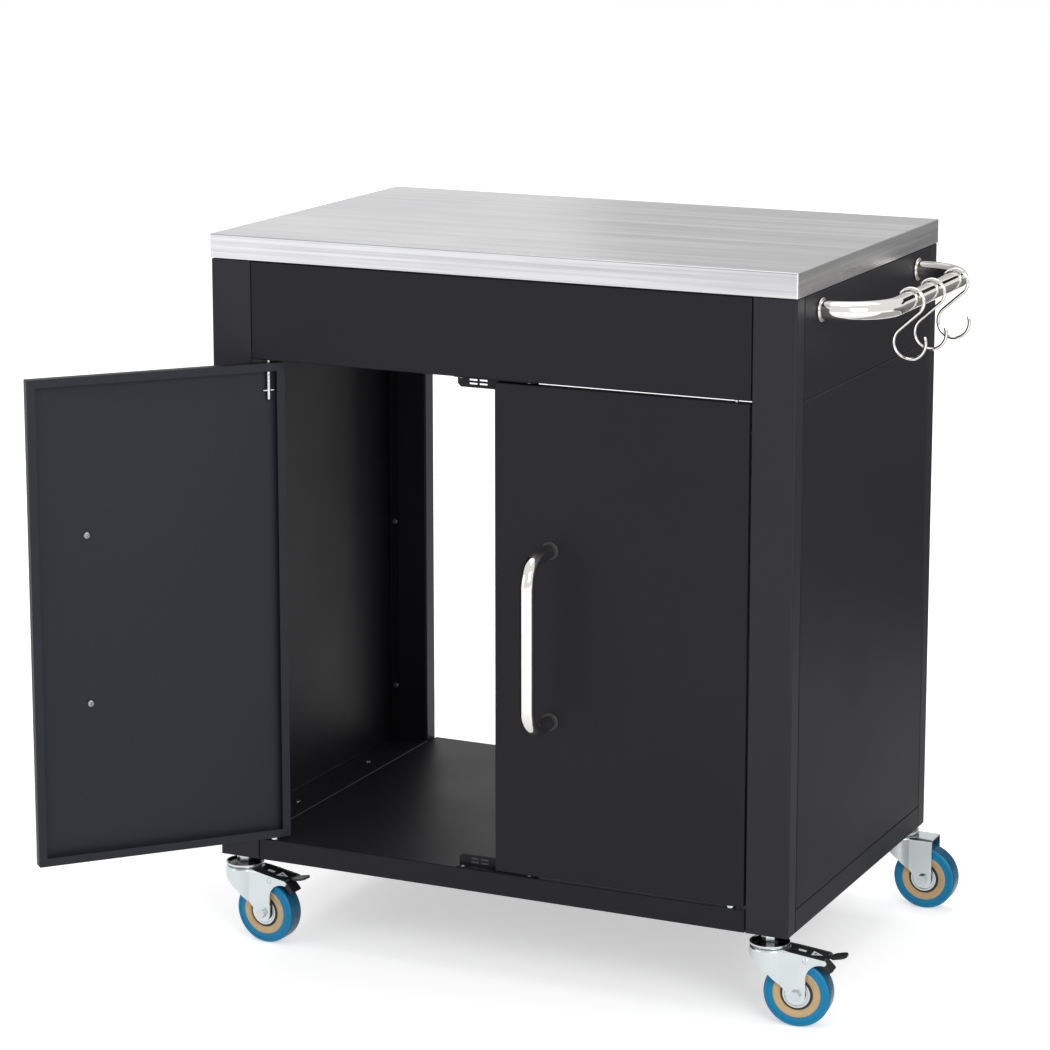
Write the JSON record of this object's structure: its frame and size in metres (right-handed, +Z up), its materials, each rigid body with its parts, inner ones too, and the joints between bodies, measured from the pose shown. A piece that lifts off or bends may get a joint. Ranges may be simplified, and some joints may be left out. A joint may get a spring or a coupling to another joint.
{
  "type": "kitchen cart",
  "caption": "Rolling kitchen cabinet of folded steel with a stainless worktop, double doors on sprung pins, a side towel bar with hooks and braked swivel casters.",
  "frame": {"origin": "on the floor in the middle of the cabinet's footprint", "axes": "+Z up, the doors face -Y and the towel bar is on the +X side"},
  "size_m": [0.9782, 0.7199, 0.88],
  "materials": {
    "black_powder_coat": "satin black powder coat with a fine grain",
    "brushed_stainless": "stainless sheet brushed along its length",
    "board": "raw particle board, hidden under the sheet",
    "polished_chrome": "polished chrome plate",
    "zinc_plate": "bright zinc plate on steel",
    "bright_zinc": "pale bright zinc plate on pressed sheet",
    "dark_plastic": "moulded plug inside the post",
    "tan_plastic": "moulded wheel centre, satin",
    "blue_tread": "glossy elastic tread",
    "black_pedal": "black painted steel"
  },
  "bodies": {
    "cabinet": {"worktop_sheet": "brushed_stainless", "worktop_core": "board", "front_fascia": "black_powder_coat", "rear_fascia": "black_powder_coat", "post_front_left": "black_powder_coat", "post_front_right": "black_powder_coat", "post_rear_left": "black_powder_coat", "post_rear_right": "black_powder_coat", "side_panel_upper_left": "black_powder_coat", "side_panel_upper_right": "black_powder_coat", "side_panel_lower_left": "black_powder_coat", "side_panel_lower_right": "black_powder_coat", "base_pan": "black_powder_coat", "base_rail_left": "black_powder_coat", "base_rail_right": "black_powder_coat", "door_stop_upper": "black_powder_coat", "door_stop_lower": "black_powder_coat", "panel_screws": "zinc_plate", "towel_bar": "polished_chrome", "towel_bar_fixings": "polished_chrome", "stem_sockets": "dark_plastic", "caster_stems": "zinc_plate", "caster_races": "zinc_plate", "door_pivot_studs": "zinc_plate"},
    "door_left": {"door_left": "black_powder_coat", "handle_left": "polished_chrome", "handle_fixings_left": "polished_chrome"},
    "door_right": {"door_right": "black_powder_coat", "handle_right": "polished_chrome", "handle_fixings_right": "polished_chrome"},
    "hinge_pin_left": {"hinge_pin_left": "zinc_plate", "hinge_spring_left": "zinc_plate"},
    "hinge_pin_right": {"hinge_pin_right": "zinc_plate", "hinge_spring_right": "zinc_plate"},
    "caster_fl": {"fork_fl": "bright_zinc", "axle_set_fl": "zinc_plate"},
    "caster_fr": {"fork_fr": "bright_zinc", "axle_set_fr": "zinc_plate"},
    "caster_rl": {"fork_rl": "bright_zinc", "axle_set_rl": "zinc_plate"},
    "caster_rr": {"fork_rr": "bright_zinc", "axle_set_rr": "zinc_plate"},
    "wheel_fl": {"wheel_core_fl": "tan_plastic", "wheel_tread_fl": "blue_tread", "hub_bearings_fl": "zinc_plate"},
    "wheel_fr": {"wheel_core_fr": "tan_plastic", "wheel_tread_fr": "blue_tread", "hub_bearings_fr": "zinc_plate"},
    "wheel_rl": {"wheel_core_rl": "tan_plastic", "wheel_tread_rl": "blue_tread", "hub_bearings_rl": "zinc_plate"},
    "wheel_rr": {"wheel_core_rr": "tan_plastic", "wheel_tread_rr": "blue_tread", "hub_bearings_rr": "zinc_plate"},
    "pedal_fl": {"brake_pedal_fl": "black_pedal"},
    "pedal_fr": {"brake_pedal_fr": "black_pedal"},
    "hook_near": {"hook_near": "polished_chrome"},
    "hook_middle": {"hook_middle": "polished_chrome"},
    "hook_far": {"hook_far": "polished_chrome"}
  },
  "joints": [
    {"name": "door_left_hinge", "type": "hinge", "parent": "cabinet", "child": "door_left", "pos_m": [-0.301, -0.2375, 0.1358], "axis": [0, 0, -1], "range_deg": [-132, 8]},
    {"name": "door_right_hinge", "type": "hinge", "parent": "cabinet", "child": "door_right", "pos_m": [0.301, -0.2375, 0.1358], "axis": [0, 0, 1], "range_deg": [0, 140]},
    {"name": "hinge_pin_left_slide", "type": "slide", "parent": "door_left", "child": "hinge_pin_left", "axis": [0, 0, -1], "range_m": [0, 0.008], "stiffness_N_per_m": 600, "springref_m": -0.008, "deforming": ["hinge_spring_left"]},
    {"name": "hinge_pin_right_slide", "type": "slide", "parent": "door_right", "child": "hinge_pin_right", "axis": [0, 0, -1], "range_m": [0, 0.008], "stiffness_N_per_m": 600, "springref_m": -0.008, "deforming": ["hinge_spring_right"]},
    {"name": "caster_fl_swivel", "type": "hinge", "parent": "cabinet", "child": "caster_fl", "pos_m": [-0.3475, -0.2315, 0.0925], "axis": [0, 0, 1], "continuous": true},
    {"name": "caster_fr_swivel", "type": "hinge", "parent": "cabinet", "child": "caster_fr", "pos_m": [0.3475, -0.2315, 0.0925], "axis": [0, 0, 1], "continuous": true},
    {"name": "caster_rl_swivel", "type": "hinge", "parent": "cabinet", "child": "caster_rl", "pos_m": [-0.3475, 0.2315, 0.0925], "axis": [0, 0, 1], "continuous": true},
    {"name": "caster_rr_swivel", "type": "hinge", "parent": "cabinet", "child": "caster_rr", "pos_m": [0.3475, 0.2315, 0.0925], "axis": [0, 0, 1], "continuous": true},
    {"name": "wheel_fl_spin", "type": "hinge", "parent": "caster_fl", "child": "wheel_fl", "pos_m": [-0.31214, -0.23459, 0.04], "axis": [0.0872, 0.9962, 0], "continuous": true},
    {"name": "wheel_fr_spin", "type": "hinge", "parent": "caster_fr", "child": "wheel_fr", "pos_m": [0.38281, -0.22779, 0.04], "axis": [-0.1045, 0.9945, 0], "continuous": true},
    {"name": "wheel_rl_spin", "type": "hinge", "parent": "caster_rl", "child": "wheel_rl", "pos_m": [-0.312, 0.2315, 0.04], "axis": [0, 1, 0], "continuous": true},
    {"name": "wheel_rr_spin", "type": "hinge", "parent": "caster_rr", "child": "wheel_rr", "pos_m": [0.383, 0.2315, 0.04], "axis": [0, 1, 0], "continuous": true},
    {"name": "pedal_fl_pivot", "type": "hinge", "parent": "caster_fl", "child": "pedal_fl", "pos_m": [-0.30068, -0.2356, 0.0825], "axis": [0.0872, 0.9962, 0], "range_deg": [0, 10]},
    {"name": "pedal_fr_pivot", "type": "hinge", "parent": "caster_fr", "child": "pedal_fr", "pos_m": [0.39424, -0.22659, 0.0825], "axis": [-0.1045, 0.9945, 0], "range_deg": [0, 10]},
    {"name": "hook_near_swing", "type": "hinge", "parent": "cabinet", "child": "hook_near", "pos_m": [0.444, -0.059, 0.828], "axis": [0, 1, 0], "range_deg": [-60, 40]},
    {"name": "hook_middle_swing", "type": "hinge", "parent": "cabinet", "child": "hook_middle", "pos_m": [0.444, 0.016, 0.828], "axis": [0, 1, 0], "range_deg": [-60, 40]},
    {"name": "hook_far_swing", "type": "hinge", "parent": "cabinet", "child": "hook_far", "pos_m": [0.444, 0.103, 0.828], "axis": [0, 1, 0], "range_deg": [-60, 40]}
  ]
}
